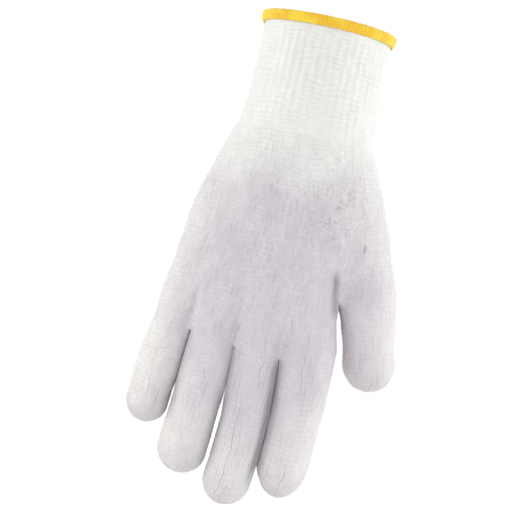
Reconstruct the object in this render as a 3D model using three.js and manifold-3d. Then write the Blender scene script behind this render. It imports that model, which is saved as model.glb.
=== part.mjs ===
// A string-knit cotton work glove in the rounded form that it has when worn: the knitted hand, a
// ribbed cuff, and a yellow overlocked edge round the cuff's mouth. The hand is knitted in one, and
// each stage of the knitting is a piece here: four fingers, their palm, the thumb, and the palm
// above it.
// Millimetres, +Z up. The origin is the centre of the cuff's mouth. The fingers hang down along -Z,
// the back of the hand faces -Y, and the thumb is on the +X side.

import * as THREE from "three";
import Module from "manifold-3d";

const wasm = await Module();
wasm.setup();

// Driving dimensions, in millimetres.
const CUFF_LENGTH = 60; // mouth to the line where the ribs end
const PALM_LENGTH = 74; // the ribs' end to the thumb's crotch
const KNUCKLE_LENGTH = 27; // the thumb's crotch to the little finger's crotch
const FINGER_LENGTH = 77; // the middle finger, crotch to tip
const FINGER_WIDTH = 24; // the middle finger
const FINGER_DEPTH = 23;
const FINGER_GAP = 0.3; // air between two fingers' roots
const MIDDLE_X = -1.2; // the middle finger's root, off the cuff's axis
const WRIST_WIDTH = 71; // outside the glove, where the ribs end
const WRIST_DEPTH = 45;
const CUFF_WIDTH = 64; // outside the cuff, where it is narrowest
const CUFF_DEPTH = 46;
const MOUTH_FLARE = 1.2; // the cuff's mouth over its narrowest stretch, all round
const PALM_DEPTH = 38; // through the heel of the hand
const KNUCKLE_DEPTH = 28;
const WALL = 2; // the knitted fabric
const RIBS = 45; // round the cuff
const RIB_RELIEF = 0.8; // a rib's crest over its groove
const EDGE_HEIGHT = 5.6; // the overlocked edge, down the cuff
const EDGE_THREAD = 1.1; // thickness of the thread that wraps the edge
const GAP = 0.3; // between one piece and the next

// Each digit's shape. Root and tip are widths, as shares of FINGER_WIDTH, and dome is the tip's dome
// as a share of half its width. Reach is the digit's length as a share of FINGER_LENGTH, and columns
// is how many mesh columns run down its front.
const SHAPES = {
  little: { root: 0.8, tip: 0.9, dome: 1, reach: 0.685, columns: 5 },
  ring: { root: 0.93, tip: 1.04, dome: 0.95, reach: 0.9, columns: 6 },
  middle: { root: 0.95, tip: 1, dome: 0.95, reach: 1, columns: 6 },
  index: { root: 1.13, tip: 1.05, dome: 1.45, reach: 0.88, columns: 7 },
  thumb: { root: 1.22, tip: 1.06, dome: 1, reach: 0.55, columns: 7 },
};

// How each digit stands. Drop is how far its crotch lies below the highest one, as a share of
// FINGER_LENGTH, and forward is how far its root stands towards the palm, as a share of
// FINGER_DEPTH. Lean and turn are the sideways angle at the root and its change by the tip, and curl
// is the bend towards the palm, all in degrees.
const STANCES = {
  little: { drop: 0, forward: 0.1, lean: -8, turn: 5, curl: 22 },
  ring: { drop: 0.06, forward: 0.03, lean: -1.2, turn: -5, curl: 20 },
  middle: { drop: 0.1, forward: 0, lean: 3.3, turn: -10, curl: 17 },
  index: { drop: 0.11, forward: 0.06, lean: 3.2, turn: -9.5, curl: 16 },
  thumb: { drop: 0, forward: 0.27, lean: 18, turn: -12, curl: 10 },
};
const SIDE_COLUMNS = 3; // mesh columns down each side of a digit

// The palm above the fingers, from the knuckles to the thumb's crotch. Left and right are shares of
// the knuckles' own reach to each side, and depth runs from KNUCKLE_DEPTH (0) to PALM_DEPTH (1).
const FOUR_FINGER_PALM = [
  { at: 0, left: 1, right: 1, depth: 0 },
  { at: 0.5, left: 0.98, right: 0.94, depth: 0.2 },
  { at: 1, left: 0.94, right: 0.885, depth: 0.4 },
];

// The palm with the thumb in it, from the thumb's crotch to the wrist. Left and right run from the
// wrist's reach (0) to the reach at the thumb's crotch (1), and depth is a share of PALM_DEPTH, or
// at the wrist of WRIST_DEPTH. Thenar is how far the thumb's side stands towards the palm.
const FIVE_FINGER_PALM = [
  { at: 0, left: 1, right: 1, palm: 0.86, wrist: 0, thenar: 0.1 },
  { at: 0.16, left: 0.92, right: 0.9, palm: 0.92, wrist: 0, thenar: 0.12 },
  { at: 0.32, left: 0.85, right: 0.74, palm: 0.98, wrist: 0, thenar: 0.12 },
  { at: 0.5, left: 0.69, right: 0.58, palm: 1, wrist: 0, thenar: 0.1 },
  { at: 0.66, left: 0.5, right: 0.4, palm: 0.7, wrist: 0.3, thenar: 0.07 },
  { at: 0.82, left: 0.28, right: 0.22, palm: 0.3, wrist: 0.7, thenar: 0.03 },
  { at: 1, left: 0, right: 0, palm: 0, wrist: 1, thenar: 0 },
];

// The cuff from the wrist to the mouth. Wrist is how far the section has grown from the narrowest
// size to the wrist's, flare is a share of MOUTH_FLARE, and ribs is a share of RIB_RELIEF.
const CUFF = [
  { at: 0, wrist: 1, flare: 0, ribs: 0 },
  { at: 0.1, wrist: 0.6, flare: 0, ribs: 0.7 },
  { at: 0.3, wrist: 0.22, flare: 0, ribs: 1 },
  { at: 0.84, wrist: 0, flare: 0.1, ribs: 1 },
  { at: 0.92, wrist: 0, flare: 0.5, ribs: 0 },
  { at: 1, wrist: 0, flare: 1, ribs: 0 },
];

const PALM_ROUNDNESS = 2.4; // a superellipse's power: 2 is an ellipse, and more is squarer
const CUFF_ROUNDNESS = 2.1;
const OUTSIDE_ROWS = { digit: 6, tip: 5, fourFinger: 5, fiveFinger: 8 }; // mesh rows
const INSIDE_ROWS = { digit: 3, tip: 3, fourFinger: 3, fiveFinger: 6 };
const EDGE_COLUMNS = 48; // mesh columns round the overlocked edge
const EDGE_ROUNDING = 1.2; // the overlocked edge's rounded corners
const CREASE_FADE = 24; // how far the creases between the digits run up into the palm
const STUB = 3; // how far below the digits' lowest crotch a palm ends and its digits begin
const OVERRUN = 3; // how far a hollow runs past the edge that it opens

const WRIST_Z = -CUFF_LENGTH;
const THUMB_CROTCH_Z = WRIST_Z - PALM_LENGTH;
const KNUCKLE_Z = THUMB_CROTCH_Z - KNUCKLE_LENGTH;

const { lerp, degToRad } = THREE.MathUtils;

// A smooth reader of a table: the columns of the row at a place between its first row and its last.
function tableReader(table) {
  const columns = Object.keys(table[0]).filter((column) => column !== "at");
  const places = table.map((row) => row.at);
  const values = table.flatMap((row) => columns.map((column) => row[column]));
  const curve = new THREE.CubicInterpolant(places, values, columns.length);
  return (at) => {
    const read = curve.evaluate(THREE.MathUtils.clamp(at, 0, 1));
    return Object.fromEntries(columns.map((column, i) => [column, read[i]]));
  };
}

// A rounded section of the palm or the cuff. The share runs once round it, from its leftmost point
// past the front, the right and the back, by length, as the columns of a knitted tube do.
const SECTION_STEPS = 144;
function pointOnSection({ left, right, depth, roundness, thenar = 0 }, share) {
  const middle = (right - left) / 2;
  const reach = (right + left) / 2;
  const points = [];
  for (let i = 0; i <= SECTION_STEPS; i++) {
    const angle = Math.PI * (1 + (2 * i) / SECTION_STEPS);
    const across = Math.sign(Math.cos(angle)) * Math.abs(Math.cos(angle)) ** (2 / roundness);
    const through = Math.sign(Math.sin(angle)) * Math.abs(Math.sin(angle)) ** (2 / roundness);
    const bulge = 1 + thenar * across;
    const x = middle + reach * across;
    const y = (depth / 2) * (through * bulge + thenar * (1 + across));
    points.push(new THREE.Vector2(x, y));
  }
  const lengths = [0];
  for (let i = 1; i < points.length; i++) {
    lengths.push(lengths[i - 1] + points[i].distanceTo(points[i - 1]));
  }
  const target = share * lengths.at(-1);
  const next = Math.max(1, lengths.findIndex((length) => length >= target));
  const part = (target - lengths[next - 1]) / (lengths[next] - lengths[next - 1]);
  return points[next - 1].clone().lerp(points[next], part);
}

// A mesh that grows row by row from the fingertips to the cuff, as the glove is knitted. A ring
// holds the numbers of its points, in order: front from left to right, right side, back, left side.
class Fabric {
  points = [];
  triangles = [];

  ring(front, points) {
    const ids = points.map((point) => this.points.push(point) - 1);
    return { front, ids };
  }

  // The tube between two rings of the same columns, the lower one nearer the fingertips.
  tube(lower, upper) {
    const count = lower.ids.length;
    for (let j = 0; j < count; j++) {
      const k = (j + 1) % count;
      this.triangles.push(lower.ids[j], lower.ids[k], upper.ids[k]);
      this.triangles.push(lower.ids[j], upper.ids[k], upper.ids[j]);
    }
  }

  // Closes a ring with a fan: downwards at a fingertip, upwards at the cuff.
  close(ring, centre, upwards) {
    const middle = this.points.push(centre) - 1;
    ring.ids.forEach((id, j) => {
      const next = ring.ids[(j + 1) % ring.ids.length];
      this.triangles.push(...(upwards ? [id, next, middle] : [next, id, middle]));
    });
  }

  // Joins two rings side by side. They share the columns between them, which meet halfway at the
  // crotch's height, and the joined ring runs round both.
  join(left, right, height) {
    const rightCount = right.ids.length;
    for (let k = 0; k <= SIDE_COLUMNS; k++) {
      const kept = left.ids[left.front + k];
      const replaced = (rightCount - k) % rightCount;
      const point = this.points[kept].add(this.points[right.ids[replaced]]).multiplyScalar(0.5);
      point.z = height;
      right.ids[replaced] = kept;
    }
    const ids = [
      ...left.ids.slice(0, left.front + 1),
      ...right.ids.slice(1, rightCount - SIDE_COLUMNS),
      ...left.ids.slice(left.front + SIDE_COLUMNS),
    ];
    return { front: left.front + right.front, ids };
  }

  solid() {
    const used = [...new Set(this.triangles)];
    const place = new Map(used.map((id, i) => [id, i]));
    return new wasm.Manifold(
      new wasm.Mesh({
        numProp: 3,
        vertProperties: new Float32Array(used.flatMap((id) => this.points[id].toArray())),
        triVerts: new Uint32Array(this.triangles.map((id) => place.get(id))),
      }),
    );
  }
}

// Where each digit stands: its length and the middle of its root. The fingers stand side by side
// from the middle one outwards, and the thumb stands against the palm's edge.
function placeDigit(name) {
  const shape = SHAPES[name];
  const stance = STANCES[name];
  return {
    ...shape,
    ...stance,
    rootReach: (shape.root * FINGER_WIDTH) / 2,
    dome: (shape.dome * shape.tip * FINGER_WIDTH) / 2,
    reach: shape.reach * FINGER_LENGTH,
    x: MIDDLE_X,
    y: stance.forward * FINGER_DEPTH,
    crotchZ: KNUCKLE_Z - stance.drop * FINGER_LENGTH,
  };
}

const little = placeDigit("little");
const ring = placeDigit("ring");
const middle = placeDigit("middle");
const index = placeDigit("index");
const thumb = placeDigit("thumb");
ring.x = middle.x - middle.rootReach - FINGER_GAP - ring.rootReach;
little.x = ring.x - ring.rootReach - FINGER_GAP - little.rootReach;
index.x = middle.x + middle.rootReach + FINGER_GAP + index.rootReach;
const KNUCKLE_LEFT = little.rootReach - little.x;
const KNUCKLE_RIGHT = index.rootReach + index.x;
const readFourFinger = tableReader(FOUR_FINGER_PALM);
const readFiveFinger = tableReader(FIVE_FINGER_PALM);
const readCuff = tableReader(CUFF);
thumb.x = KNUCKLE_RIGHT * readFourFinger(1).right + thumb.rootReach;
thumb.crotchZ = THUMB_CROTCH_Z;
const THUMB_REACH = thumb.x + thumb.rootReach;

// A digit's ring at a share of its length below the crotch. The path leans and curls evenly, and
// the tip is a dome.
function digitPoints(digit, at, inset) {
  const lean = degToRad(digit.lean + digit.turn * at);
  const meanLean = degToRad(digit.lean + (digit.turn * at) / 2);
  const curl = degToRad(digit.curl) * at;
  const down = at * digit.reach;
  const centre = new THREE.Vector3(
    digit.x + down * Math.tan(meanLean),
    digit.y + down * Math.tan(curl / 2),
    digit.crotchZ - down,
  );
  const along = new THREE.Vector3(Math.tan(lean), Math.tan(curl), -1).normalize();
  const across = along.clone().cross(new THREE.Vector3(0, 1, 0)).normalize();
  const through = across.clone().cross(along);

  const halfWidth = (FINGER_WIDTH / 2) * lerp(digit.root, digit.tip, Math.min(1, 2 * at));
  const intoDome = Math.max(0, down - (digit.reach - digit.dome)) / (digit.dome - inset);
  const rounding = Math.sqrt(Math.max(0, 1 - intoDome ** 2));
  const width = (halfWidth - inset) * rounding;
  const depth = (halfWidth * (FINGER_DEPTH / FINGER_WIDTH) - inset) * rounding;

  const count = 2 * (digit.columns + SIDE_COLUMNS);
  return Array.from({ length: count }, (_, j) => {
    const angle = (2 * Math.PI * (j - digit.columns - SIDE_COLUMNS / 2)) / count;
    return centre
      .clone()
      .addScaledVector(across, width * Math.cos(angle))
      .addScaledVector(through, depth * Math.sin(angle));
  });
}

// The rings of one digit, from its tip to its crotch.
function digitRings(fabric, digit, rows, inset) {
  const domeStart = 1 - digit.dome / digit.reach;
  const tip = 1 - inset / digit.reach;
  const root = -inset / digit.reach;
  const places = [];
  for (let i = rows.tip - 1; i > 0; i--) {
    places.push(lerp(domeStart, tip, Math.sin((i / rows.tip) * (Math.PI / 2))));
  }
  for (let i = rows.digit; i >= 0; i--) places.push(lerp(root, domeStart, i / rows.digit));
  const rings = places.map((at) => fabric.ring(digit.columns, digitPoints(digit, at, inset)));
  const outermost = digitPoints(digit, tip, inset);
  const centre = outermost.reduce((sum, p) => sum.add(p), new THREE.Vector3());
  fabric.close(rings[0], centre.divideScalar(outermost.length), false);
  return rings;
}

function fourFingerSection(z, inset) {
  const row = readFourFinger((z - KNUCKLE_Z) / KNUCKLE_LENGTH);
  return {
    left: KNUCKLE_LEFT * row.left - inset,
    right: KNUCKLE_RIGHT * row.right - inset,
    depth: lerp(KNUCKLE_DEPTH, PALM_DEPTH, row.depth) - 2 * inset,
    roundness: PALM_ROUNDNESS,
  };
}

function fiveFingerSection(z, inset) {
  const row = readFiveFinger((z - THUMB_CROTCH_Z) / PALM_LENGTH);
  const thumbLeft = KNUCKLE_LEFT * readFourFinger(1).left;
  return {
    left: lerp(WRIST_WIDTH / 2, thumbLeft, row.left) - inset,
    right: lerp(WRIST_WIDTH / 2, THUMB_REACH, row.right) - inset,
    depth: PALM_DEPTH * row.palm + WRIST_DEPTH * row.wrist - 2 * inset,
    thenar: row.thenar,
    roundness: lerp(CUFF_ROUNDNESS, PALM_ROUNDNESS, row.palm),
  };
}

// Knits the palm up from a joined ring to a level line. The joined ring's own shape, with the
// creases between the digits, fades into the palm's section on the way.
function palmRings(fabric, start, topZ, rows, sectionAt, inset) {
  const count = start.ids.length;
  const onSection = (j, z) => {
    const share = (j + SIDE_COLUMNS / 2) / count;
    const point = pointOnSection(sectionAt(z, inset), share % 1);
    return new THREE.Vector3(point.x, point.y, z);
  };
  const first = start.ids.map((id) => fabric.points[id]);
  const offsets = first.map((point, j) => point.clone().sub(onSection(j, point.z)));
  const rings = [start];
  for (let row = 1; row <= rows; row++) {
    const points = first.map((point, j) => {
      const z = lerp(point.z, topZ, row / rows);
      const fade = Math.max(0, 1 - (z - point.z) / CREASE_FADE);
      return onSection(j, z).addScaledVector(offsets[j], fade * fade * (3 - 2 * fade));
    });
    rings.push(fabric.ring(start.front, points));
    fabric.tube(rings[row - 1], rings[row]);
  }
  return rings;
}

// The whole hand as one solid body, its surface set in by the inset.
function handBody(rows, inset, overrun) {
  const fabric = new Fabric();
  const digits = [little, ring, middle, index, thumb];
  const rings = new Map(digits.map((digit) => [digit, digitRings(fabric, digit, rows, inset)]));
  const root = (digit) => rings.get(digit).at(-1);

  let joined = root(little);
  for (const [left, right] of [[little, ring], [ring, middle], [middle, index]]) {
    const crotch = (left.crotchZ + right.crotchZ) / 2 + inset;
    joined = fabric.join(joined, root(right), crotch);
  }
  const crotchZ = thumb.crotchZ + inset;
  const fourFinger = palmRings(fabric, joined, crotchZ, rows.fourFinger, fourFingerSection, inset);
  joined = fabric.join(fourFinger.at(-1), root(thumb), crotchZ);
  const fiveFinger = palmRings(fabric, joined, WRIST_Z, rows.fiveFinger, fiveFingerSection, inset);

  for (const digit of digits) {
    const own = rings.get(digit);
    for (let i = 1; i < own.length; i++) fabric.tube(own[i - 1], own[i]);
  }
  let top = fiveFinger.at(-1);
  if (overrun > 0) {
    const raised = top.ids.map((id) => fabric.points[id].clone().setZ(WRIST_Z + overrun));
    const lip = fabric.ring(top.front, raised);
    fabric.tube(top, lip);
    top = lip;
  }
  fabric.close(top, new THREE.Vector3(0, 0, WRIST_Z + overrun), true);
  return fabric.solid();
}

// The separate pieces of a shell below a height, from left to right.
function piecesBelow(shell, topZ) {
  const pieces = shell.trimByPlane([0, 0, -1], -topZ).decompose();
  return pieces.sort((a, b) => a.boundingBox().min[0] - b.boundingBox().min[0]);
}

// The knitted hand, in the stages that it is knitted in. The fingers end just below the lowest
// crotch between them, and so does the thumb below its own.
function handStages() {
  const shell = handBody(OUTSIDE_ROWS, 0, 0).subtract(handBody(INSIDE_ROWS, WALL, OVERRUN));
  const shellAbove = (bottomZ) => shell.trimByPlane([0, 0, 1], bottomZ);
  const thumbTop = THUMB_CROTCH_Z - STUB;
  const fingerTop = index.crotchZ - STUB;
  const fiveFingerPalm = shellAbove(thumbTop + GAP);
  const [, thumbPiece] = piecesBelow(shell, thumbTop);
  const [fourFingerPalm] = piecesBelow(shellAbove(fingerTop + GAP), thumbTop);
  const fingers = piecesBelow(shell, fingerTop);
  return { fiveFingerPalm, thumbPiece, fourFingerPalm, fingers };
}

// The cuff's section at a height, set in from its outer face.
function cuffPoint(share, z, inset) {
  const row = readCuff((z - WRIST_Z) / CUFF_LENGTH);
  const outset = row.flare * MOUTH_FLARE - inset;
  const reach = lerp(CUFF_WIDTH, WRIST_WIDTH, row.wrist) / 2 + outset;
  const depth = lerp(CUFF_DEPTH, WRIST_DEPTH, row.wrist) + 2 * outset;
  const section = { left: reach, right: reach, depth, roundness: CUFF_ROUNDNESS };
  const point = pointOnSection(section, share);
  return new THREE.Vector3(point.x, point.y, z);
}

// The ribbed tube, filled, between two heights. Every second column of its mesh is a groove.
function cuffBody(bottomZ, topZ, inset) {
  const fabric = new Fabric();
  const levels = CUFF.map((row) => WRIST_Z + row.at * CUFF_LENGTH);
  const between = levels.filter((z) => z > bottomZ + GAP && z < topZ - GAP);
  const rings = [bottomZ, ...between, topZ].map((z) => {
    const relief = RIB_RELIEF * readCuff((z - WRIST_Z) / CUFF_LENGTH).ribs;
    const points = Array.from({ length: 2 * RIBS }, (_, j) => {
      return cuffPoint(j / (2 * RIBS), z, inset + (j % 2) * relief);
    });
    return fabric.ring(0, points);
  });
  for (let i = 1; i < rings.length; i++) fabric.tube(rings[i - 1], rings[i]);
  fabric.close(rings[0], new THREE.Vector3(0, 0, bottomZ), false);
  fabric.close(rings.at(-1), new THREE.Vector3(0, 0, topZ), true);
  return fabric.solid();
}

function ribCuff() {
  const bottomZ = WRIST_Z + GAP;
  const topZ = -EDGE_THREAD - GAP;
  const hollow = cuffBody(bottomZ - OVERRUN, topZ + OVERRUN, WALL);
  return cuffBody(bottomZ, topZ, 0).subtract(hollow);
}

// The thread wraps the cuff's edge: down its outside, over the top and down its inside. The loop
// goes once round the thread's own section, as pairs of outset from the cuff and height.
function overlockEdge() {
  const outside = GAP + EDGE_THREAD;
  const inside = -WALL - GAP - EDGE_THREAD;
  const soft = EDGE_ROUNDING;
  const loop = [
    [outside, -EDGE_HEIGHT],
    [outside, -soft],
    [outside - 0.3 * soft, -0.3 * soft],
    [outside - soft, 0],
    [inside + soft, 0],
    [inside + 0.3 * soft, -0.3 * soft],
    [inside, -soft],
    [inside, -EDGE_HEIGHT],
    [-WALL - GAP, -EDGE_HEIGHT],
    [-WALL - GAP, -EDGE_THREAD],
    [GAP, -EDGE_THREAD],
    [GAP, -EDGE_HEIGHT],
  ];
  const fabric = new Fabric();
  const rings = loop.map(([outset, z]) => {
    const points = Array.from({ length: EDGE_COLUMNS }, (_, j) => {
      return cuffPoint(j / EDGE_COLUMNS, z, -outset);
    });
    return fabric.ring(0, points);
  });
  rings.forEach((ring, i) => fabric.tube(ring, rings[(i + 1) % rings.length]));
  return fabric.solid();
}

function named(name, solid, material) {
  const mesh = solid.getMesh();
  const indexed = new THREE.BufferGeometry();
  indexed.setAttribute("position", new THREE.BufferAttribute(mesh.vertProperties, 3));
  indexed.setIndex(new THREE.BufferAttribute(mesh.triVerts, 1));
  const geometry = indexed.toNonIndexed();
  geometry.computeVertexNormals();
  const piece = new THREE.Mesh(geometry, material);
  piece.name = name;
  return piece;
}

const cottonKnit = new THREE.MeshStandardMaterial({
  color: 0xe4dfe2,
  roughness: 0.95,
  metalness: 0,
});
const ribKnit = new THREE.MeshStandardMaterial({ color: 0xeceae8, roughness: 0.95, metalness: 0 });
const edgeThread = new THREE.MeshStandardMaterial({ color: 0xe9bd2e, roughness: 0.8, metalness: 0 });

const glove = new THREE.Group();
const { fiveFingerPalm, fourFingerPalm, thumbPiece, fingers } = handStages();
glove.add(named("five_finger_palm", fiveFingerPalm, cottonKnit));
glove.add(named("thumb", thumbPiece, cottonKnit));
glove.add(named("four_finger_palm", fourFingerPalm, cottonKnit));
["little", "ring", "middle", "index"].forEach((finger, i) => {
  glove.add(named(`${finger}_finger`, fingers[i], cottonKnit));
});
glove.add(named("rib_cuff", ribCuff(), ribKnit));
glove.add(named("overlock_edge", overlockEdge(), edgeThread));
export default glove;
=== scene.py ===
import math

import bmesh
import bpy
import numpy as np
from mathutils import Matrix, Vector, noise


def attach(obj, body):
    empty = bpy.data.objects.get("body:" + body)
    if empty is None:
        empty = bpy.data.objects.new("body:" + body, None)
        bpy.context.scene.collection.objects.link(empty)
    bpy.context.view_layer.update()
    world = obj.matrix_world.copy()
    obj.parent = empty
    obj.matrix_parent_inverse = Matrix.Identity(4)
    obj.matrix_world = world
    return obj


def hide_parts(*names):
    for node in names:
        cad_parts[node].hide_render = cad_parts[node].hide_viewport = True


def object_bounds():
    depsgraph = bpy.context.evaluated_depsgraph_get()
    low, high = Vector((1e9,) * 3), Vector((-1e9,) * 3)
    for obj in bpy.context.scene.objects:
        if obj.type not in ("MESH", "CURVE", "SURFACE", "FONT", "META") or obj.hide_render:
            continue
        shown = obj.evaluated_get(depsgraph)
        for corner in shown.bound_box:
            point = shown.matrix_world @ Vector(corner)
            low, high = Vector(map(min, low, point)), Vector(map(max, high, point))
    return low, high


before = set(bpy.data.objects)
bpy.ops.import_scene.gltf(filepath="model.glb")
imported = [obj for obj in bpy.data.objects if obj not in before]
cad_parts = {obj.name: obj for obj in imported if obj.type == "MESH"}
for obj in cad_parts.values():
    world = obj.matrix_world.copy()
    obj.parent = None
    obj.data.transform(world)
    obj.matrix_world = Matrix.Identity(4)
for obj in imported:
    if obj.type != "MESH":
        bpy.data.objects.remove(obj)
cad_low, cad_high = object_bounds()


# The knitted hand. It is bleached cotton string, knitted in one on a coarse machine from the
# fingertips up: four fingers, then their palm, then the thumb, then the palm above it. Each stage
# is a tube of plain stitches here, and the tubes are welded along the wales that they share.

# Sizes in millimetres and degrees, the same as the solids'.
CUFF_LENGTH = 60
PALM_LENGTH = 74
KNUCKLE_LENGTH = 27
FINGER_LENGTH = 77
FINGER_WIDTH = 24
FINGER_DEPTH = 23
FINGER_GAP = 0.3
MIDDLE_X = -1.2
WRIST_WIDTH = 71
WRIST_DEPTH = 45
PALM_DEPTH = 38
KNUCKLE_DEPTH = 28
WALL = 2
PALM_ROUNDNESS = 2.4
CUFF_ROUNDNESS = 2.1
CREASE_FADE = 24
WRIST_Z = -CUFF_LENGTH
THUMB_CROTCH_Z = WRIST_Z - PALM_LENGTH
KNUCKLE_Z = THUMB_CROTCH_Z - KNUCKLE_LENGTH

# Wales is how many run down a digit's front. The other columns are the solids': widths and reaches
# are shares of a finger's, and lean, turn and curl are in degrees.
DIGITS = {
    "little": dict(
        wales=7, root=0.8, tip=0.9, dome=1, reach=0.685,
        drop=0, forward=0.1, lean=-8, turn=5, curl=22,
    ),
    "ring": dict(
        wales=8, root=0.93, tip=1.04, dome=0.95, reach=0.9,
        drop=0.06, forward=0.03, lean=-1.2, turn=-5, curl=20,
    ),
    "middle": dict(
        wales=8, root=0.95, tip=1, dome=0.95, reach=1,
        drop=0.1, forward=0, lean=3.3, turn=-10, curl=17,
    ),
    "index": dict(
        wales=9, root=1.13, tip=1.05, dome=1.45, reach=0.88,
        drop=0.11, forward=0.06, lean=3.2, turn=-9.5, curl=16,
    ),
    "thumb": dict(
        wales=9, root=1.22, tip=1.06, dome=1, reach=0.55,
        drop=0, forward=0.27, lean=18, turn=-12, curl=10,
    ),
}
FOUR_FINGER_PALM = [
    dict(at=0, left=1, right=1, depth=0),
    dict(at=0.5, left=0.98, right=0.94, depth=0.2),
    dict(at=1, left=0.94, right=0.885, depth=0.4),
]
FIVE_FINGER_PALM = [
    dict(at=0, left=1, right=1, palm=0.86, wrist=0, thenar=0.1),
    dict(at=0.16, left=0.92, right=0.9, palm=0.92, wrist=0, thenar=0.12),
    dict(at=0.32, left=0.85, right=0.74, palm=0.98, wrist=0, thenar=0.12),
    dict(at=0.5, left=0.69, right=0.58, palm=1, wrist=0, thenar=0.1),
    dict(at=0.66, left=0.5, right=0.4, palm=0.7, wrist=0.3, thenar=0.07),
    dict(at=0.82, left=0.28, right=0.22, palm=0.3, wrist=0.7, thenar=0.03),
    dict(at=1, left=0, right=0, palm=0, wrist=1, thenar=0),
]
SIDE_WALES = 4  # down each side of a digit
COURSE = 2.4  # height of a stitch
PALM_COURSES = 13  # from the finger crotches to the thumb's
# Mesh columns and rows to a stitch, depth in the wall, and how often the crotches are eased.
OUTSIDE = dict(per_wale=4, per_course=3, inset=0, ease=16)
INSIDE = dict(per_wale=1, per_course=1, inset=WALL, ease=2)
CROTCH_FADE = 8  # how far down a digit its root's shape runs
SECTION_STEPS = 144  # points that measure a section's way round

STITCH_RELIEF = 0.5  # a yarn's crest over the groove between two wales
UNEVENNESS = 0.45  # how far the cloth lies off its smooth form
RIPPLE = 0.2  # the same, in short lengthwise ripples
LUMPS = dict(broad=17, narrow=8, ripple=2.6, long_ripple=2.2, groove=6)  # how large its lumps are
WALE_WANDER = 0.7  # how far the yarn strays sideways, in wales
COURSE_WANDER = 1.2  # and lengthwise, in courses
WANDERS = dict(slow=14, quick=5, quick_share=0.4)  # over what lengths it strays
PUCKER = 0.9  # extra unevenness, round the base of the thumb
PUCKER_CENTRE = Vector((22, -18, -96))
PUCKER_REACH = 24
PUCKER_LUMPS = dict(broad=4.2, narrow=1.9)
DROPPED_STITCH = Vector((40.3, -11.9, -108.4))  # its hole is painted as a small dark spot of shade
TIP_SHADE = 34  # how far the painted shade at the fingertips runs up a digit
TIP_WEAR = 6  # and how closely its flattened stitches keep to the tip
CROTCH_REACHES = {"finger": (10, 7, 4), "thumb": (26, 20, 14, 8)}  # spheres in which a crotch is eased
EASE_STEP = 0.5
# Neighbouring fingers touch this far down from their crotch, and then part by this much more than the solids
# do. Painted shade darkens the crease between them on its left and its right side.
NEIGHBOURS = {
    ("little", "ring"): dict(touch=24, part=0.5, left_shade=0.4, right_shade=0.3, spread=1.1),
    ("ring", "middle"): dict(touch=20, part=0.7, left_shade=0.4, right_shade=0.3, spread=1.1),
    ("middle", "index"): dict(touch=52, part=0, left_shade=1, right_shade=0.35, spread=1.9),
}
PRESS = 0.9  # how far a digit gives where another bears on it
PRESS_REACH = 5  # how far into the digit that is felt
TOUCHING = 0.03  # what is left between two digits that touch
SLIT_FADES = dict(start=4, shut=12, part=18, end=14)  # lengths over which the pressing comes and goes
SHADE_SPREAD = 50  # how far down a crease its painted shade widens
THUMB_SLIT = dict(lean=0.24, start=2, shut=12)  # it leans out, and is pressed shut down to here
# The crease at the thumb's crotch: its place beside and above the crotch, the cloth's narrowing, and its
# painted shade.
FOLD = dict(aside=-2.5, lean=-0.18, width=1.9, narrowing=0.22, foot=-12, top=14, fade=7, shade=0.8)


def read_table(rows, at):
    """The columns of a table at places along it, on the same smooth curves as the solids'."""
    places = np.array([row["at"] for row in rows], float)
    at = np.clip(at, 0, 1)
    k = np.clip(np.searchsorted(places, at, side="right"), 1, len(places) - 1)
    step = places[k] - places[k - 1]
    p = (at - places[k - 1]) / step
    read = {}
    for column in rows[0]:
        y = np.array([row[column] for row in rows], float)
        secant = np.diff(y) / np.diff(places)
        slope = np.concatenate((secant[:1], (secant[1:] + secant[:-1]) / 2, secant[-1:]))
        leaving = y[k - 1] * (1 + 2 * p) * (1 - p) ** 2 + slope[k - 1] * step * p * (1 - p) ** 2
        arriving = y[k] * p**2 * (3 - 2 * p) - slope[k] * step * p**2 * (1 - p)
        read[column] = leaving + arriving
    return read


def section_points(share, left, right, depth, roundness, thenar=0.0):
    """Points on rounded sections. The share runs once round by length, from the left past the front."""
    wide = [np.broadcast_to(a, share.shape)[:, None] for a in (left, right, depth, roundness, thenar)]
    left, right, depth, roundness, thenar = wide
    angle = np.pi * (1 + np.linspace(0, 2, SECTION_STEPS + 1))[None, :]
    across = np.sign(np.cos(angle)) * np.abs(np.cos(angle)) ** (2 / roundness)
    through = np.sign(np.sin(angle)) * np.abs(np.sin(angle)) ** (2 / roundness)
    x = (right - left) / 2 + (right + left) / 2 * across
    y = depth / 2 * (through * (1 + thenar * across) + thenar * (1 + across))
    length = np.cumsum(np.hypot(np.diff(x), np.diff(y)), axis=1)
    length = np.concatenate((np.zeros((len(share), 1)), length), axis=1)
    target = (share % 1) * length[:, -1]
    k = np.clip((length < target[:, None]).sum(1), 1, SECTION_STEPS)
    row = np.arange(len(share))
    part = (target - length[row, k - 1]) / (length[row, k] - length[row, k - 1])
    return tuple(a[row, k - 1] + part * (a[row, k] - a[row, k - 1]) for a in (x, y))


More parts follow.
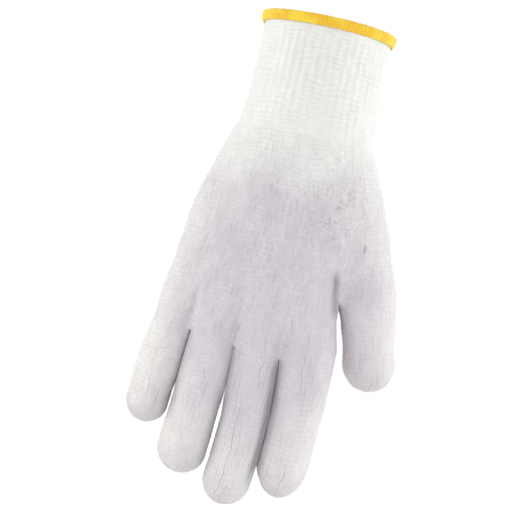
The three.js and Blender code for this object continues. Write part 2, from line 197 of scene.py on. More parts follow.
for number, digit in enumerate(DIGITS.values(), 1):
    digit["number"] = number
    digit["half_root"] = digit["root"] * FINGER_WIDTH / 2
    digit["dome"] *= digit["tip"] * FINGER_WIDTH / 2
    digit["reach"] *= FINGER_LENGTH
    digit["y"] = digit["forward"] * FINGER_DEPTH
    digit["crotch_z"] = KNUCKLE_Z - digit["drop"] * FINGER_LENGTH
    digit["columns"] = 2 * (digit["wales"] + SIDE_WALES)
little, ring, middle, index, thumb = DIGITS.values()
middle["x"] = MIDDLE_X
ring["x"] = middle["x"] - middle["half_root"] - FINGER_GAP - ring["half_root"]
little["x"] = ring["x"] - ring["half_root"] - FINGER_GAP - little["half_root"]
index["x"] = middle["x"] + middle["half_root"] + FINGER_GAP + index["half_root"]
KNUCKLE_LEFT = little["half_root"] - little["x"]
KNUCKLE_RIGHT = index["half_root"] + index["x"]
thumb["x"] = KNUCKLE_RIGHT * FOUR_FINGER_PALM[-1]["right"] + thumb["half_root"]
thumb["crotch_z"] = THUMB_CROTCH_Z
THUMB_REACH = thumb["x"] + thumb["half_root"]


def digit_points(digit, wale, up, inset):
    """Points on a digit: wale runs round it from the front's left edge, up from tip (0) to crotch (1)."""
    dome, straight = digit["dome"] - inset, digit["reach"] - digit["dome"]
    arc = dome * math.pi / 2
    along = up * (arc + straight)
    turn = np.minimum(along / arc, 1) * math.pi / 2
    rise = np.maximum(along - arc, 0) / straight
    down = (straight + dome * np.cos(turn)) * (1 - rise) - inset * rise
    at = down / digit["reach"]
    lean = np.radians(digit["lean"] + digit["turn"] * at)
    mean_lean = np.radians(digit["lean"] + digit["turn"] * at / 2)
    curl = math.radians(digit["curl"]) * at
    centre_x = digit["x"] + down * np.tan(mean_lean)
    centre_y = digit["y"] + down * np.tan(curl / 2)
    centre = np.stack((centre_x, centre_y, digit["crotch_z"] - down), 1)
    path = np.stack((np.tan(lean), np.tan(curl), -np.ones_like(at)), 1)
    path /= np.linalg.norm(path, axis=1)[:, None]
    across = np.stack((-path[:, 2], 0 * at, path[:, 0]), 1)
    across /= np.linalg.norm(across, axis=1)[:, None]
    through = np.cross(across, path)
    half = FINGER_WIDTH / 2 * (digit["root"] + (digit["tip"] - digit["root"]) * np.clip(2 * at, 0, 1))
    width = (half - inset) * np.sin(turn)
    depth = (half * FINGER_DEPTH / FINGER_WIDTH - inset) * np.sin(turn)
    angle = 2 * math.pi * (wale - digit["wales"] - SIDE_WALES / 2) / digit["columns"]
    return centre + across * (width * np.cos(angle))[:, None] + through * (depth * np.sin(angle))[:, None]


def four_finger_section(z, inset):
    """The fingers' palm at a height: its reach to the left and right, depth and roundness."""
    row = read_table(FOUR_FINGER_PALM, (z - KNUCKLE_Z) / KNUCKLE_LENGTH)
    depth = KNUCKLE_DEPTH + (PALM_DEPTH - KNUCKLE_DEPTH) * row["depth"] - 2 * inset
    return KNUCKLE_LEFT * row["left"] - inset, KNUCKLE_RIGHT * row["right"] - inset, depth, PALM_ROUNDNESS


def five_finger_section(z, inset):
    """The same for the palm over the thumb, with how much the ball of the thumb stands out."""
    row = read_table(FIVE_FINGER_PALM, (z - THUMB_CROTCH_Z) / PALM_LENGTH)
    half_wrist = WRIST_WIDTH / 2
    left = half_wrist + (KNUCKLE_LEFT * FOUR_FINGER_PALM[-1]["left"] - half_wrist) * row["left"] - inset
    right = half_wrist + (THUMB_REACH - half_wrist) * row["right"] - inset
    depth = PALM_DEPTH * row["palm"] + WRIST_DEPTH * row["wrist"] - 2 * inset
    roundness = CUFF_ROUNDNESS + (PALM_ROUNDNESS - CUFF_ROUNDNESS) * row["palm"]
    return left, right, depth, roundness, row["thenar"]


def on_palm(section, wale, columns, z, inset):
    """Points on a palm at some heights, with its columns spaced evenly round it."""
    x, y = section_points((wale + SIDE_WALES / 2) / columns, *section(z, inset))
    return np.stack((x, y, z), 1)


def smooth(share):
    """A share from 0 to 1, eased at both ends."""
    share = np.clip(share, 0, 1)
    return share**2 * (3 - 2 * share)


def join_rings(points, left, right, side, height):
    """Makes two rings of point numbers one. The columns between them meet halfway, at a height."""
    k = np.arange(side + 1)
    kept, replaced = left["ids"][left["front"] + k], right["ids"][-k % len(right["ids"])]
    points[kept] = (points[kept] + points[replaced]) / 2
    points[kept, 2] = height
    right["ids"][-k % len(right["ids"])] = kept
    front, rest = left["ids"][: left["front"] + 1], left["ids"][left["front"] + side :]
    ids = np.concatenate((front, right["ids"][1 : len(right["ids"]) - side], rest))
    return {"front": left["front"] + right["front"], "ids": ids}


def knit_tube(bm, columns, courses, first_course, gauge, place, digit=0):
    """A tube of stitches on a grid. place() gives where a stitch lies, and its share of the fingertips'
    painted shade and worn flatness.
    """
    uv, wale_at, course_at, tip = stitch_layers(bm)
    digit_at = bm.verts.layers.float["digit"]
    across, along = columns * gauge["per_wale"], courses * gauge["per_course"]
    made = bmesh.ops.create_grid(bm, x_segments=across, y_segments=along, size=0.5, calc_uvs=True)["verts"]
    wale = np.array([(v.co.x + 0.5) * columns for v in made])
    up = np.array([v.co.y + 0.5 for v in made])
    points, shade = place(wale, up)
    for v, u, share, point, tip_shade_and_wear in zip(made, wale, up, points / 1000, shade):
        v.co = point
        v[wale_at], v[course_at], v[tip], v[digit_at] = u, share * courses + first_course, tip_shade_and_wear, digit
    faces = {f for v in made for f in v.link_faces}
    for f in faces:
        for loop in f.loops:
            across, along = loop[uv].uv
            loop[uv].uv = (across * columns, along * courses + first_course)
    return faces


def stitch_layers(bm):
    """Where a mesh keeps its stitches: the map that the materials read, and the same at its corners."""
    if not bm.loops.layers.uv:
        bm.loops.layers.uv.new("KnitUV")
        for name in ("wale", "course", "tip", "crease", "digit"):
            bm.verts.layers.float.new(name)
    corners = bm.verts.layers.float
    return bm.loops.layers.uv["KnitUV"], corners["wale"], corners["course"], corners["tip"]


def knit_hand(bm, gauge):
    """One face of the hand, outer or inner, as seven tubes of stitches."""
    per_wale, inset = gauge["per_wale"], gauge["inset"]
    side = SIDE_WALES * per_wale
    faces, rings, own_roots, count = set(), {}, [], 0
    for name, digit in DIGITS.items():
        wale = np.arange(digit["columns"] * per_wale) / per_wale
        ids = np.arange(count, count + len(wale))
        rings[name] = {"front": digit["wales"] * per_wale, "ids": ids, "first": count}
        own_roots.append(digit_points(digit, wale, np.ones_like(wale), inset))
        count += len(wale)
    own_roots = np.concatenate(own_roots)
    roots = own_roots.copy()
    joined = rings["little"]
    for left, right in (("little", "ring"), ("ring", "middle"), ("middle", "index")):
        crotch = (DIGITS[left]["crotch_z"] + DIGITS[right]["crotch_z"]) / 2 + inset
        joined = join_rings(roots, joined, rings[right], side, crotch)

    def palm(start, top_z, section, wale, up):
        """Points between a joined ring and a level line. The ring's shape fades into the palm's."""
        j = np.round(wale * per_wale).astype(int) % len(start)
        columns = len(start) // per_wale
        first = start[j]
        offset = first - on_palm(section, wale, columns, first[:, 2], inset)
        z = first[:, 2] + (top_z - first[:, 2]) * up
        fade = smooth(1 - (z - first[:, 2]) / CREASE_FADE)
        return on_palm(section, wale, columns, z, inset) + offset * fade[:, None]

    thumb_top = THUMB_CROTCH_Z + inset
    fingers = roots[joined["ids"]]
    wale = np.arange(len(fingers)) / per_wale
    palm_top = palm(fingers, thumb_top, four_finger_section, wale, np.ones_like(wale))
    own_roots = np.concatenate((own_roots, palm_top))
    roots = np.concatenate((roots, own_roots[count:]))
    four_top = np.arange(count, len(roots))
    joined = {"front": joined["front"], "ids": four_top.copy()}
    whole = join_rings(roots, joined, rings["thumb"], side, thumb_top)

    for name, digit in DIGITS.items():
        length = (digit["dome"] - inset) * math.pi / 2 + digit["reach"] - digit["dome"]
        courses = round(length / COURSE)

        def place(wale, up):
            j = np.round(wale * per_wale).astype(int) % (digit["columns"] * per_wale)
            offset = roots[rings[name]["ids"][j]] - own_roots[rings[name]["first"] + j]
            fade = smooth(1 - (1 - up) * length / CROTCH_FADE)
            points = digit_points(digit, wale, up, inset) + offset * fade[:, None]
            # the fingertip's painted shade and worn flatness, fading up the digit
            return points, smooth(1 - up * length / TIP_SHADE)

        first_course = (PALM_COURSES if name == "thumb" else 0) - courses
        faces |= knit_tube(bm, digit["columns"], courses, first_course, gauge, place, digit["number"])

    def place_four(wale, up):
        points = palm(fingers, thumb_top, four_finger_section, wale, up)
        j = np.round(wale * per_wale).astype(int) % len(fingers)
        offset = roots[four_top[j]] - own_roots[four_top[j]]
        fade = smooth(1 - (thumb_top - points[:, 2]) / CROTCH_FADE)
        return points + offset * fade[:, None], 0 * up

    def place_five(wale, up):
        return palm(roots[whole["ids"]], WRIST_Z, five_finger_section, wale, up), 0 * up

    faces |= knit_tube(bm, len(fingers) // per_wale, PALM_COURSES, 0, gauge, place_four)
    five_courses = round(PALM_LENGTH / COURSE)
    faces |= knit_tube(bm, len(whole["ids"]) // per_wale, five_courses, PALM_COURSES, gauge, place_five)
    return faces


def plain_stitch(wale, course):
    """Height of the yarn in a plain stitch, 0 to 1: two legs that lean together towards the fingertips."""
    leg = abs((wale + 0.5) % 1 - 0.5) * 2
    wave = 0.5 + 0.5 * math.cos(2 * math.pi * (course + leg / 2))
    return max(math.sin(math.pi * leg) * (0.62 + 0.38 * wave), 0.45 * leg**2)


def unevenness(point):
    """How far the cloth lies off its smooth form, in millimetres, and how deep its grooves are there."""
    broad = noise.noise(point / LUMPS["broad"])
    narrow = noise.noise(point / LUMPS["narrow"] + Vector((31, 5, 2)))
    lengthwise = Vector((point.x, point.y, point.z / LUMPS["long_ripple"]))
    ripple = noise.noise(lengthwise / LUMPS["ripple"] + Vector((7, 19, 3)))
    groove = 1 + 1.3 * max(0.0, noise.noise(lengthwise / LUMPS["groove"] + Vector((2, 8, 40))))
    near_thumb = max(0.0, 1 - (point - PUCKER_CENTRE).length / PUCKER_REACH)
    pucker = noise.noise(point / PUCKER_LUMPS["broad"])
    pucker += 0.6 * noise.noise(point / PUCKER_LUMPS["narrow"] + Vector((3, 3, 11)))
    lift = UNEVENNESS * (broad + 0.6 * narrow) + RIPPLE * ripple + PUCKER * near_thumb * pucker
    return lift, groove


def ease_crotches(bm, faces, turns):
    """Softens the cloth round the crotches, where the machine joins the tubes."""
    corners = {v for f in faces if f.is_valid for v in f.verts}
    for left, right, kind in (
        (little, ring, "finger"),
        (ring, middle, "finger"),
        (middle, index, "finger"),
        (index, thumb, "thumb"),
    ):
        height = THUMB_CROTCH_Z if kind == "thumb" else (left["crotch_z"] + right["crotch_z"]) / 2
        crotch = Vector((right["x"] - right["half_root"], (left["y"] + right["y"]) / 2, height))
        for reach in CROTCH_REACHES[kind]:
            near = [v for v in corners if (v.co * 1000 - crotch).length < reach]
            for _ in range(turns):
                bmesh.ops.smooth_vert(
                    bm, verts=near, factor=EASE_STEP, use_axis_x=True, use_axis_y=True, use_axis_z=True
                )


def press_fold(bm):
    """Presses in the crease between the thumb and the palm's edge, on both sides of the hand, and paints
    shade into it.
    """
    crease = bm.verts.layers.float["crease"]
    crotch_x = thumb["x"] - thumb["half_root"] + FOLD["aside"]
    for v in bm.verts:
        up = v.co.z * 1000 - THUMB_CROTCH_Z
        if FOLD["foot"] < up < FOLD["top"]:
            aside = (v.co.x * 1000 - crotch_x - FOLD["lean"] * up) / FOLD["width"]
            along = min(up - FOLD["foot"], FOLD["top"] - up) / FOLD["fade"]
            share = math.exp(-aside * aside) * float(smooth(along))
            v.co.y *= 1 - FOLD["narrowing"] * share
            # painted shade in the pressed crease
            v[crease] = FOLD["shade"] * share


def side_x(digit, z, side):
    """Where a digit's side lies across the hand at a height: -1 is its left side and 1 its right."""
    down = digit["crotch_z"] - z
    lean = math.radians(digit["lean"] + digit["turn"] * down / digit["reach"] / 2)
    share = digit["root"] + (digit["tip"] - digit["root"]) * min(max(2 * down / digit["reach"], 0), 1)
    return digit["x"] + down * math.tan(lean) + side * share * FINGER_WIDTH / 2


def press_fingers(bm):
    """Closes the slits between the fingers near their roots, where the cloth of one bears on the next, and
    paints shade along them.
    """
    crease, digit_at = (bm.verts.layers.float[name] for name in ("crease", "digit"))
    for (left, right), slit in NEIGHBOURS.items():
        left, right = DIGITS[left], DIGITS[right]
        crotch = (left["crotch_z"] + right["crotch_z"]) / 2
        shorter = min(left["reach"], right["reach"])
        for v in bm.verts:
            down = crotch - v.co.z * 1000
            if v[digit_at] not in (left["number"], right["number"]) or not 0 < down < shorter:
                continue
            side = -1 if v[digit_at] == left["number"] else 1
            between = (side_x(left, crotch - down, 1) + side_x(right, crotch - down, -1)) / 2
            away = side * (v.co.x * 1000 - between)
            if away < PRESS_REACH:
                near = float(smooth(1 - away / PRESS_REACH))
                begun = float(smooth(down / SLIT_FADES["start"]))
                ending = float(smooth((shorter - down) / SLIT_FADES["end"]))
                below = down - slit["touch"]
                shut = PRESS * float(smooth(1 - below / SLIT_FADES["shut"]))
                part = slit["part"] * float(smooth(below / SLIT_FADES["part"])) * ending
                moved = max(away - near * shut, TOUCHING) + near * part - away
                v.co.x += side * moved * begun / 1000
                # painted shade on each side of the crease
                shade = slit["left_shade"] if side < 0 else slit["right_shade"]
                shade *= float(smooth(slit["spread"] * near * min(0.5 + down / SHADE_SPREAD, 1)))
                v[crease] = shade * begun * ending


def press_thumb(bm):
    """Closes the top of the slit between the thumb and the palm's edge in the same way."""
    digit_at = bm.verts.layers.float["digit"]
    for v in bm.verts:
        down = THUMB_CROTCH_Z - v.co.z * 1000
        if v[digit_at] not in (0, thumb["number"]) or not 0 < down < THUMB_SLIT["shut"]:
            continue
        side = -1 if v[digit_at] == 0 else 1
        between = thumb["x"] - thumb["half_root"] + THUMB_SLIT["lean"] * down
        away = side * (v.co.x * 1000 - between)
        if 0 < away < PRESS_REACH:
            near = float(smooth(1 - away / PRESS_REACH) * smooth(1 - down / THUMB_SLIT["shut"]))
            moved = max(away - near * PRESS, min(away, TOUCHING)) - away
            v.co.x += side * moved * float(smooth(down / THUMB_SLIT["start"])) / 1000


def wander(point):
    """How far the yarn strays from its even place, in wales and in courses."""
    slow, quick = point / WANDERS["slow"], point / WANDERS["quick"] + Vector((17, 3, 8))
    across = WALE_WANDER * (noise.noise(slow) + WANDERS["quick_share"] * noise.noise(quick))
    along = COURSE_WANDER * noise.noise(slow + Vector((50, 20, 30)))
    return across, along


def raise_stitches(bm, faces, relief):
    """Moves the outer face's corners in and out by the height of their stitch and the cloth's unevenness."""
    uv, wale_at, course_at, tip = stitch_layers(bm)
    bm.normal_update()
    moves = {}
    for v in {v for f in faces if f.is_valid for v in f.verts}:
        across, along = wander(v.co * 1000)
        lift, groove = unevenness(v.co * 1000)
        stitch = (plain_stitch(v[wale_at] + across, v[course_at] + along) - 0.5) * relief
        if stitch < 0:
            stitch *= groove
        moves[v] = v.normal * (lift + stitch * (1 - v[tip] ** TIP_WEAR)) / 1000
        for loop in v.link_loops:
            loop[uv].uv += Vector((across, along))
    for v, move in moves.items():
        v.co += move


def weld_tubes(bm, inner):
    """Turns the inner face to look inwards and welds the tubes along the corners that they share."""
    bmesh.ops.reverse_faces(bm, faces=list(inner))
    bmesh.ops.remove_doubles(bm, verts=bm.verts, dist=1e-6)


def close_rim(bm, z):
    """Closes the wall at its open rim, at a height. Its edges are sharp, so the cloth shades on evenly."""
    rim = [e for e in bm.edges if e.is_boundary and abs(e.verts[0].co.z * 1000 - z) < 1]
    for f in bmesh.ops.bridge_loops(bm, edges=rim)["faces"]:
        for e in f.edges:
            e.smooth = False


def finish_piece(bm, name, material, slot, *nodes):
    """Makes the finished mesh a piece of the object, in its material."""
    for f in bm.faces:
        f.smooth = True
    data = bpy.data.meshes.new(name)
    bm.to_mesh(data)
    bm.free()
    piece = bpy.data.objects.new(name, data)
    bpy.context.scene.collection.objects.link(piece)
    data.materials.append(material)
    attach(piece, "root")
    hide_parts(*nodes)


class Nodes:
    """Lays out a material's nodes: each call adds a node, joins its inputs, and returns its output."""

    def __init__(self, name):
        self.material = bpy.data.materials.new(name)
        self.material.use_nodes = True
        self.tree = self.material.node_tree
        self.shader = self.tree.nodes["Principled BSDF"]

    def add(self, kind, inputs=(), output=0, **settings):
        node = self.tree.nodes.new("ShaderNode" + kind)
        for name, value in settings.items():
            setattr(node, name, value)
        pairs = inputs.items() if isinstance(inputs, dict) else enumerate(inputs)
        for socket, value in pairs:
            self.join(node.inputs[socket], value)
        return node.outputs[output]

    def join(self, socket, value):
        if isinstance(value, bpy.types.NodeSocket):
            self.tree.links.new(value, socket)
        else:
            socket.default_value = value

    def maths(self, operation, *inputs):
        return self.add("Math", inputs, operation=operation)

    def between(self, value, low, high, to_low=0.0, to_high=1.0):
        return self.add("MapRange", (value, low, high, to_low, to_high), interpolation_type="SMOOTHSTEP")

    def mix(self, share, first, second):
        return self.add("Mix", {0: share, 6: first, 7: second}, 2, data_type="RGBA")

    def noise(self, where, scale, detail=2.0, roughness=0.5, distortion=0.0):
        inputs = {"Vector": where, "Scale": scale, "Detail": detail, "Roughness": roughness}
        return self.add("TexNoise", {**inputs, "Distortion": distortion})

    def distance(self, where, point):
        return self.add("VectorMath", [where, point], 1, operation="DISTANCE")

    def finish(self, sockets):
        """Joins or sets the shader's own sockets, and gives the material."""
        for socket, value in sockets.items():
            self.join(self.shader.inputs[socket], value)
        return self.material


# Linear colours of the cotton.
PALM_PAINTED_SHADE = (0.61, 0.57, 0.625, 1)  # painted shade: darker and faintly lavender in the middle of the palm and fingers
CREAM_LIT_EDGES_AND_PATCHES = (0.78, 0.765, 0.75, 1)  # painted light: cream at the edges of the hand and on the thumb; random cream patches elsewhere
WRIST_PAINTED_LIGHT = (0.83, 0.83, 0.815, 1)  # painted light: whiter towards the cuff, at the top
TIP_PAINTED_SHADE = (0.57, 0.53, 0.575, 1)  # painted shade: greyer at the fingertips, where less light falls
SLUB = (0.9, 0.89, 0.87, 1)  # on thick places in the yarn
# painted shade, for creases, grooves, puckers and the dropped stitch's hole
PAINTED_GROOVE_SHADE = (0.31, 0.285, 0.32, 1)
PALM_SHADE_OVAL = {"Location": (-0.1, 0, 1.4), "Scale": (15.5, 0, 10)}  # where the painted shade reaches: 65 mm to each side, 100 up and down
WRIST_TONE = dict(start=-112, full=-48)  # heights between which the colour turns to the wrist's painted light
GROOVE_TONE = dict(fingers=-180, palm=-130, on_fingers=1.1, on_palm=0.35)  # heights, and how strong the painted groove shade is there
HOLE = dict(dark=0.4, edge=1.3, shade=0.6)  # painted shade in the dropped stitch's hole
MARKS = dict(fibres=2600, curls=300, slubs=170, streaks=95, clouds=26, patches=24)  # to a metre
STRETCH = (1, 1, 0.35)  # slubs and streaks run lengthwise
BUMPS = dict(plies=0.1, fibres=0.35, slubs=0.35, curls=2.6)  # against the yarn's own height
BUMP_STRENGTH = 0.55
BUMP_DEPTH = 0.0007


def string_knit(name, groove_share):
    """Coarse cotton string in plain stitches: plied, with loose fibres, and painted shade between the wales.
    """
    n = Nodes(name)
    stitch = n.add("SeparateXYZ", [n.add("UVMap", uv_map="KnitUV")])
    wale, course = stitch.node.outputs[0], stitch.node.outputs[1]
    place = n.add("TexCoord", output=3)
    leg = n.maths("MULTIPLY", n.maths("PINGPONG", wale, 0.5), 2.0)
    phase = n.maths("MULTIPLY_ADD", leg, 0.5, course)
    wave = n.maths("MULTIPLY_ADD", n.maths("COSINE", n.maths("MULTIPLY", phase, 2 * math.pi)), 0.5, 0.5)
    arch = n.maths("MAXIMUM", n.maths("SINE", n.maths("MULTIPLY", leg, math.pi)), 0.0)
    legs = n.maths("MULTIPLY", n.maths("POWER", arch, 0.7), n.maths("MULTIPLY_ADD", wave, 0.55, 0.45))
    between_legs = n.maths("MULTIPLY", n.maths("MULTIPLY", leg, leg), 0.4)
    yarn = n.maths("MAXIMUM", legs, between_legs)
    wales = n.maths("MAXIMUM", n.maths("MULTIPLY", n.maths("POWER", arch, 0.7), 0.8), between_legs)
    plies = n.maths("SINE", n.maths("MULTIPLY", n.maths("MULTIPLY_ADD", leg, 2.2, phase), 6 * math.pi))
    upright = n.add("Mapping", {"Vector": place, "Scale": STRETCH})
    fibres = n.noise(place, scale=MARKS["fibres"], detail=3.0, roughness=0.7)
    slubs = n.noise(upright, scale=MARKS["slubs"], roughness=0.6)
    streaks = n.noise(upright, scale=MARKS["streaks"], roughness=0.6)
    clouds = n.noise(place, scale=MARKS["clouds"], detail=1.0)
    patches = n.noise(place, scale=MARKS["patches"], detail=1.0)
    curls = n.noise(place, scale=MARKS["curls"], roughness=0.6, distortion=1.2)
    from_pucker = n.distance(place, PUCKER_CENTRE / 1000)
    pucker = n.between(from_pucker, 0.3 * PUCKER_REACH / 1000, 0.85 * PUCKER_REACH / 1000, 1.0, 0.0)

    height = n.maths("MULTIPLY_ADD", plies, BUMPS["plies"], yarn)
    height = n.maths("MULTIPLY_ADD", fibres, BUMPS["fibres"], height)
    height = n.maths("MULTIPLY_ADD", slubs, BUMPS["slubs"], height)
    height = n.maths("MULTIPLY_ADD", n.maths("MULTIPLY", curls, pucker), BUMPS["curls"], height)
    bump = n.add("Bump", {"Strength": BUMP_STRENGTH, "Distance": BUMP_DEPTH, "Height": height})

    # Painted light and shade on the yarn's colour: darker and lavender in the middle of the hand and greyer
    # at the fingertips; lighter and cream at its edges, and whiter towards the wrist; with random cream
    # patches.
    up = n.add("SeparateXYZ", [place]).node.outputs[2]
    drift = n.maths("MULTIPLY_ADD", n.maths("SUBTRACT", clouds, 0.5), 0.07, up)
    # Painted shade in the middle of the hand, painted light towards its edges.
    palm = n.add("Mapping", {"Vector": place, **PALM_SHADE_OVAL})
    from_palm = n.add("VectorMath", [palm], 1, operation="LENGTH")
    out = n.maths("MULTIPLY_ADD", n.maths("SUBTRACT", patches, 0.5), 0.5, from_palm)
    colour = n.mix(n.between(out, 0.5, 1.2), PALM_PAINTED_SHADE, CREAM_LIT_EDGES_AND_PATCHES)
    # Painted light, whiter towards the wrist.
    wrist = n.between(drift, WRIST_TONE["start"] / 1000, WRIST_TONE["full"] / 1000)
    colour = n.mix(wrist, colour, WRIST_PAINTED_LIGHT)
    # Painted shade at the fingertips.
    tip = n.add("Attribute", output=2, attribute_name="tip")
    colour = n.mix(tip, colour, TIP_PAINTED_SHADE)

    # Painted shade in creases, in the grooves between wales and between stitches, in puckered cloth and in
    # the dropped stitch's hole.
    crease = n.add("Attribute", output=2, attribute_name="crease")
    colour = n.mix(crease, colour, PAINTED_GROOVE_SHADE)
    colour = n.mix(n.between(slubs, 0.35, 0.65, 0.0, 0.16), colour, SLUB)
    grooves = n.between(wales, 0.0, 0.55, 1.0, 0.0)
    low, high = GROOVE_TONE["fingers"] / 1000, GROOVE_TONE["palm"] / 1000
    stronger_on_fingers = n.between(up, low, high, GROOVE_TONE["on_fingers"], GROOVE_TONE["on_palm"])
    deep = n.maths("MULTIPLY", n.between(streaks, 0.48, 0.66, 0.03, 1.0), stronger_on_fingers)
    deep = n.maths("MULTIPLY", deep, groove_share)
    colour = n.mix(n.maths("MULTIPLY", grooves, deep), colour, PAINTED_GROOVE_SHADE)
    open_knit = n.between(slubs, 0.38, 0.6, 0.05, 0.2)
    between_stitches = n.maths("MULTIPLY", n.between(wave, 0.0, 0.55, 1.0, 0.0), arch)
    colour = n.mix(n.maths("MULTIPLY", between_stitches, open_knit), colour, PAINTED_GROOVE_SHADE)
    rough = n.between(pucker, 0.0, 1.0, 0.1, 0.6)
    specks = n.between(curls, 0.56, 0.72)
    colour = n.mix(n.maths("MULTIPLY", specks, rough), colour, PAINTED_GROOVE_SHADE)
    # Painted shade in the dropped stitch's hole.
    dropped = n.distance(upright, DROPPED_STITCH * Vector(STRETCH) / 1000)
    hole = n.between(dropped, HOLE["dark"] / 1000, HOLE["edge"] / 1000, HOLE["shade"], 0.0)
    colour = n.mix(hole, colour, PAINTED_GROOVE_SHADE)
    return n.finish({
        "Base Color": colour,
        "Normal": bump,
        "Roughness": 0.95,
        "Specular IOR Level": 0.15,
        "Sheen Weight": 0.6,
        "Sheen Roughness": 0.4,
        "Sheen Tint": (1, 1, 1, 1),
    })


hand_mesh = bmesh.new()
outer = knit_hand(hand_mesh, OUTSIDE)
inner = knit_hand(hand_mesh, INSIDE)
weld_tubes(hand_mesh, inner)
ease_crotches(hand_mesh, outer, OUTSIDE["ease"])
ease_crotches(hand_mesh, inner, INSIDE["ease"])
press_fold(hand_mesh)
raise_stitches(hand_mesh, outer, STITCH_RELIEF)
close_rim(hand_mesh, WRIST_Z)
press_fingers(hand_mesh)
press_thumb(hand_mesh)
finish_piece(
    hand_mesh, "knitted_hand", string_knit("cotton_string", 1.0), "cotton_knit",
    "five_finger_palm", "four_finger_palm", "thumb",
    "little_finger", "ring_finger", "middle_finger", "index_finger",
)


# The ribbed cuff. It is the same string, knitted on from the palm as a 1x1 rib: one wale of plain
# stitches stands out, and the next lies back, so that the cuff grips the wrist.

CUFF_WIDTH = 64
CUFF_DEPTH = 46
MOUTH_FLARE = 1.2
RIB_RELIEF = 0.32  # a rib's crest over its groove: these are finer than the solids' plain ridges
RIB_STITCH_RELIEF = 0.24  # the ribs draw the stitches together, so they lie flatter
RIB_GROOVES = 0.35  # and the painted shade in the grooves between them is lighter, as a share of the hand's
CUFF = [
    dict(at=0, wrist=1, flare=0, ribs=0),
    dict(at=0.1, wrist=0.6, flare=0, ribs=0.7),
    dict(at=0.3, wrist=0.22, flare=0, ribs=1),
    dict(at=0.84, wrist=0, flare=0.1, ribs=1),
    dict(at=0.92, wrist=0, flare=0.5, ribs=0),
    dict(at=1, wrist=0, flare=1, ribs=0),
]
CUFF_WALES = 90
CUFF_TOP = -1.4  # its cut edge, inside the yellow thread
CUFF_INSIDE = dict(per_wale=2, per_course=1, inset=WALL)


def cuff_points(share, z, inset):
    """Points on the cuff, set in from its smooth outer face."""
    row = read_table(CUFF, (z - WRIST_Z) / CUFF_LENGTH)
    outset = row["flare"] * MOUTH_FLARE - inset
    reach = (CUFF_WIDTH + (WRIST_WIDTH - CUFF_WIDTH) * row["wrist"]) / 2 + outset
    depth = CUFF_DEPTH + (WRIST_DEPTH - CUFF_DEPTH) * row["wrist"] + 2 * outset
    x, y = section_points(share, reach, reach, depth, CUFF_ROUNDNESS)
    return np.stack((x, y, z), 1)


def knit_cuff(bm, gauge):
    def place(wale, up):
        z = WRIST_Z + (CUFF_TOP - WRIST_Z) * up
        ribs = read_table(CUFF, (z - WRIST_Z) / CUFF_LENGTH)["ribs"]
        lie_back = RIB_RELIEF * ribs * (0.5 - 0.5 * np.cos(np.pi * (wale - 0.5)))
        return cuff_points((wale + SIDE_WALES / 2) / CUFF_WALES, z, gauge["inset"] + lie_back), 0 * up

    return knit_tube(bm, CUFF_WALES, round((CUFF_TOP - WRIST_Z) / COURSE), 0, gauge, place)


cuff_mesh = bmesh.new()
outer = knit_cuff(cuff_mesh, OUTSIDE)
inner = knit_cuff(cuff_mesh, CUFF_INSIDE)
weld_tubes(cuff_mesh, inner)
raise_stitches(cuff_mesh, outer, RIB_STITCH_RELIEF)
close_rim(cuff_mesh, WRIST_Z)
close_rim(cuff_mesh, CUFF_TOP)
finish_piece(cuff_mesh, "ribbed_cuff", string_knit("ribbed_string", RIB_GROOVES), "rib_knit", "rib_cuff")


# The overlocked edge. A machine wraps soft yellow thread over the cuff's raw edge: down its
# outside, over the top and down its inside, wrap beside wrap with a slight slant.

EDGE_HEIGHT = 5.6
EDGE_THREAD = 1.1
GAP = 0.3  # to the cuff, inside and out
WRAPS = 150
WRAP_SLANT = 1.6  # how many wraps a thread leans over, once round its section
WRAP_RELIEF = 0.16
WRAP_SLACK = 0.16  # how far a wrap lies off the even band
WRAP_WANDER = 0.6  # how far a wrap strays from its even place, in wraps
WRAP_LUMPS = dict(slack=3, wander=2.5)  # over what lengths they do
EDGE_GAUGE = dict(per_wale=5, per_course=34)  # mesh columns to a wrap, and rows round the section
THREAD_YELLOW = (0.83, 0.62, 0.05, 1)
THREAD_ORANGE = (0.80, 0.47, 0.035, 1)
# painted shade between two wraps
THREAD_GROOVE_SHADE = (0.55, 0.29, 0.015, 1)
THREAD_BUMP = 0.0004


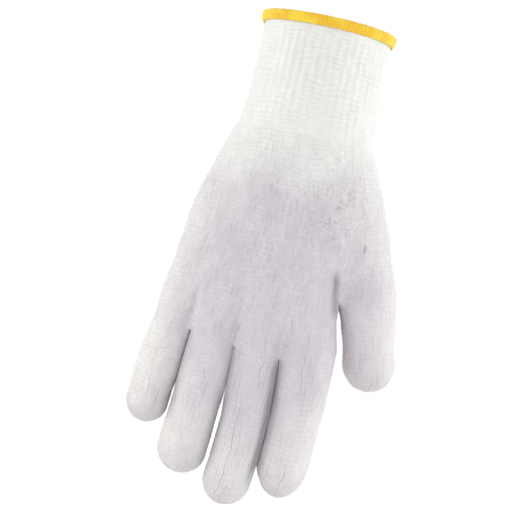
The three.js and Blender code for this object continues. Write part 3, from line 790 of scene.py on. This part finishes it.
def wrap_edge(bm):
    """The band of wraps: its section, out from the cuff and up, runs round the cuff's edge."""
    outside = GAP + EDGE_THREAD
    outer = [
        (GAP, 0.1 - EDGE_HEIGHT),
        (GAP + 0.35, -EDGE_HEIGHT),
        (outside - 0.45, 0.5 - EDGE_HEIGHT),
        (outside, 1.8 - EDGE_HEIGHT),
        (outside, -1.2),
        (outside - 0.36, -0.36),
        (outside - 1.2, 0),
    ]
    inner = [(-WALL - out, z) for out, z in reversed(outer)]
    cuff_side = [(-WALL - GAP, -EDGE_THREAD), (GAP, -EDGE_THREAD)]
    loop = np.array(outer + inner + cuff_side + outer[:1])
    along = np.concatenate(([0], np.cumsum(np.hypot(*np.diff(loop, axis=0).T))))

    def place(wale, up):
        outset, z = (np.interp(up * along[-1], along, loop[:, i]) for i in (0, 1))
        return cuff_points(wale / WRAPS, z, -outset), 0 * up

    knit_tube(bm, WRAPS, 1, 0, EDGE_GAUGE, place)
    bmesh.ops.remove_doubles(bm, verts=bm.verts, dist=1e-6)
    bm.normal_update()
    uv, wale_at, course_at, _ = stitch_layers(bm)
    hidden = along[2 * len(outer) - 1] / along[-1]  # past the inner lip, the section runs along the cuff
    moves = []
    for v in bm.verts:
        astray = WRAP_WANDER * noise.noise(v.co * 1000 / WRAP_LUMPS["wander"])
        for corner in v.link_loops:
            corner[uv].uv.x += astray
        if v[course_at] < hidden:
            ridge = abs(math.sin(math.pi * (v[wale_at] + astray + WRAP_SLANT * v[course_at])))
            slack = WRAP_SLACK * noise.noise(v.co * 1000 / WRAP_LUMPS["slack"])
            moves.append((v, v.normal * ((ridge - 0.6) * WRAP_RELIEF + slack) / 1000))
    for v, move in moves:
        v.co += move


def wrapped_thread(name):
    """Soft yellow thread, wrap beside wrap: yellow and orange by turns, with painted shade between two
    wraps.
    """
    n = Nodes(name)
    wrap = n.add("SeparateXYZ", [n.add("UVMap", uv_map="KnitUV")])
    across, along = wrap.node.outputs[0], wrap.node.outputs[1]
    place = n.add("TexCoord", output=3)
    lean = n.maths("MULTIPLY_ADD", along, WRAP_SLANT, across)
    ridge = n.maths("MULTIPLY", n.maths("PINGPONG", lean, 0.5), 2.0)
    twist = n.maths("MULTIPLY_ADD", along, 30.0, lean)
    plies = n.maths("SINE", n.maths("MULTIPLY", twist, 4 * math.pi))
    fibres = n.noise(place, scale=2200, detail=3.0, roughness=0.65)
    patches = n.noise(place, scale=75)
    height = n.maths("MULTIPLY_ADD", fibres, 0.5, n.maths("MULTIPLY_ADD", plies, 0.1, ridge))
    bump = n.add("Bump", {"Strength": BUMP_STRENGTH, "Distance": THREAD_BUMP, "Height": height})
    colour = n.mix(n.between(patches, 0.36, 0.58), THREAD_ORANGE, THREAD_YELLOW)
    # Painted shade in the groove between two wraps.
    colour = n.mix(n.between(ridge, 0.0, 0.6, 0.4, 0.0), colour, THREAD_GROOVE_SHADE)
    return n.finish({
        "Base Color": colour,
        "Normal": bump,
        "Roughness": 0.8,
        "Specular IOR Level": 0.25,
        "Sheen Weight": 0.4,
        "Sheen Roughness": 0.4,
        "Sheen Tint": (1, 0.93, 0.7, 1),
    })


edge_mesh = bmesh.new()
wrap_edge(edge_mesh)
finish_piece(edge_mesh, "overlocked_edge", wrapped_thread("yellow_thread"), "edge_thread", "overlock_edge")


# The studio: a white floor in a white room, with a soft lamp at each side, the right one stronger,
# and the camera at the photograph's viewing angle.

# Metres, watts and degrees.
FLOOR_Z = -0.3
FLOOR_REACH = 30
LENS = 140.6
RISE, ROLL = 4, 12.3  # the camera looks slightly up, and is rolled as in the photograph
TARGET = Vector((-0.01165, 0, -0.1219))
DISTANCE = 1
LAMPS = {
    "lamp_left": dict(at=(-0.75, -0.12, 0.0), size=0.6, power=2.3, colour=(1, 1, 0.93)),
    "lamp_right": dict(at=(0.8, 0.0, 0.1), size=0.6, power=3.6, colour=(1, 1, 0.93)),
}

floor_mesh = bmesh.new()
bmesh.ops.create_grid(floor_mesh, x_segments=1, y_segments=1, size=FLOOR_REACH)
bmesh.ops.translate(floor_mesh, verts=floor_mesh.verts, vec=(0, 0, FLOOR_Z))
floor_data = bpy.data.meshes.new("floor")
floor_mesh.to_mesh(floor_data)
floor_mesh.free()
floor = bpy.data.objects.new("floor", floor_data)
bpy.context.scene.collection.objects.link(floor)
floor_data.materials.append(Nodes("floor_white").finish({
    "Base Color": (0.95, 0.95, 0.95, 1),
    "Roughness": 1,
    "Emission Color": (1, 1, 1, 1),
    "Emission Strength": 0.08,
}))

room = bpy.data.worlds.new("white_room")
room.use_nodes = True
room.node_tree.nodes["Background"].inputs["Color"].default_value = (1, 1, 1, 1)
room.node_tree.nodes["Background"].inputs["Strength"].default_value = 1.0
bpy.context.scene.world = room
bpy.context.scene.view_settings.view_transform = "Standard"

centre = Vector((0, 0, (cad_low.z + cad_high.z) / 2))
for name, lamp in LAMPS.items():
    light = bpy.data.lights.new(name, "AREA")
    light.size, light.energy, light.color = lamp["size"], lamp["power"], lamp["colour"]
    made = bpy.data.objects.new(name, light)
    bpy.context.scene.collection.objects.link(made)
    made.location = lamp["at"]
    made.rotation_euler = (centre - made.location).to_track_quat("-Z", "Y").to_euler()

camera_data = bpy.data.cameras.new("camera")
camera_data.sensor_width = 36
camera_data.lens = LENS
camera = bpy.data.objects.new("camera", camera_data)
bpy.context.scene.collection.objects.link(camera)
rise, roll = math.radians(RISE), math.radians(ROLL)
look = Vector((0, math.cos(rise), math.sin(rise)))
level = Vector((1, 0, 0))
upwards = level.cross(look)
x_axis = level * math.cos(roll) + upwards * math.sin(roll)
y_axis = -level * math.sin(roll) + upwards * math.cos(roll)
stand = Matrix((x_axis, y_axis, -look)).transposed().to_4x4()
stand.translation = TARGET - look * DISTANCE
camera.matrix_world = stand
bpy.context.scene.camera = camera
